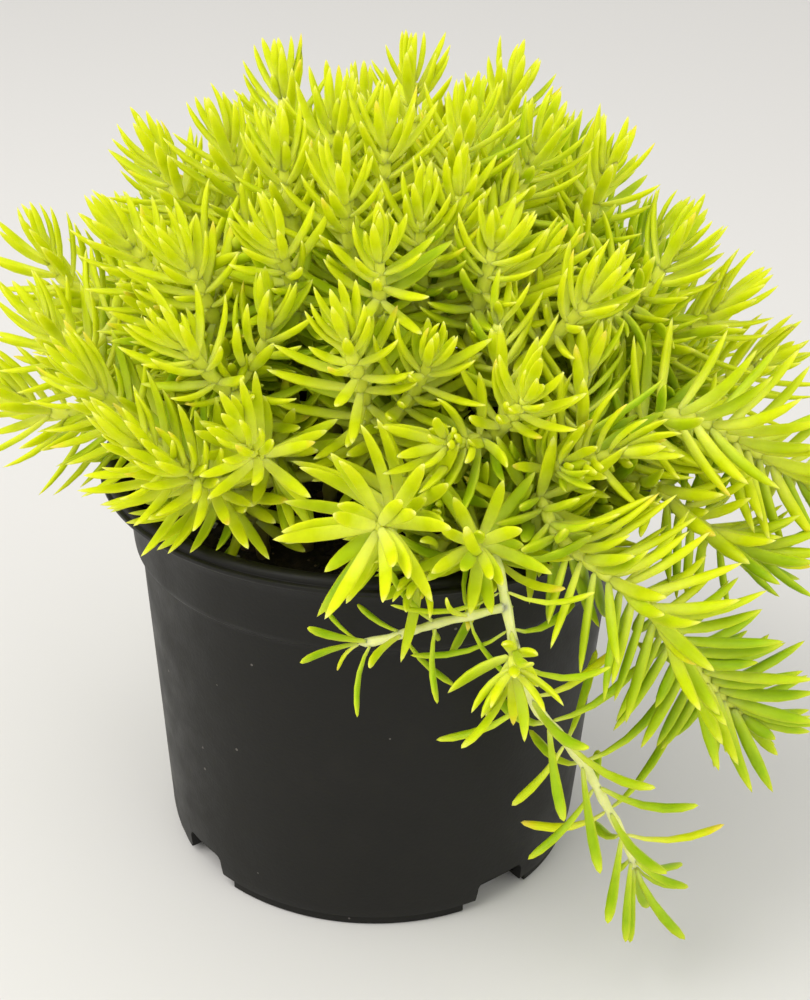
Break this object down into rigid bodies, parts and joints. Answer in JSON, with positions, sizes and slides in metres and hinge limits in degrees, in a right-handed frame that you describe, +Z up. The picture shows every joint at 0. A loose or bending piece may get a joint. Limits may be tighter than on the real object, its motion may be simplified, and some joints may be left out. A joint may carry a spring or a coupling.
{
  "type": "potted sedum",
  "caption": "Bushy needle-leaved golden sedum with upright, spreading and trailing stems, growing in soil in a round tapered nursery pot with a flared lip.",
  "frame": {"origin": "the middle of the pot's flat underside", "axes": "+Z up along the pot's axis; -Y towards the side seen in the picture; +X to that side's right"},
  "size_m": [0.1825, 0.162, 0.171],
  "materials": {
    "black_plastic": "near-black satin moulded plastic",
    "soil": "dark crumbly bark and peat potting mix, matt",
    "leaf": "yellow-green succulent leaf, satin"
  },
  "bodies": {
    "root": {"pot": "black_plastic", "soil": "soil", "stem_long_front": "leaf", "stem_thick_right": "leaf", "stem_side_right": "leaf", "stem_low_right": "leaf", "stem_01": "leaf", "stem_02": "leaf", "stem_03": "leaf", "stem_04": "leaf", "stem_05": "leaf", "stem_06": "leaf", "stem_07": "leaf", "stem_08": "leaf", "stem_09": "leaf", "stem_10": "leaf", "stem_11": "leaf", "stem_12": "leaf", "stem_13": "leaf", "stem_14": "leaf", "stem_15": "leaf", "stem_16": "leaf", "stem_17": "leaf", "stem_18": "leaf", "stem_19": "leaf", "stem_20": "leaf", "stem_21": "leaf", "stem_22": "leaf", "stem_23": "leaf", "stem_24": "leaf", "stem_25": "leaf", "stem_26": "leaf", "stem_27": "leaf", "stem_28": "leaf", "stem_29": "leaf", "stem_30": "leaf", "stem_31": "leaf", "stem_32": "leaf"}
  },
  "joints": []
}
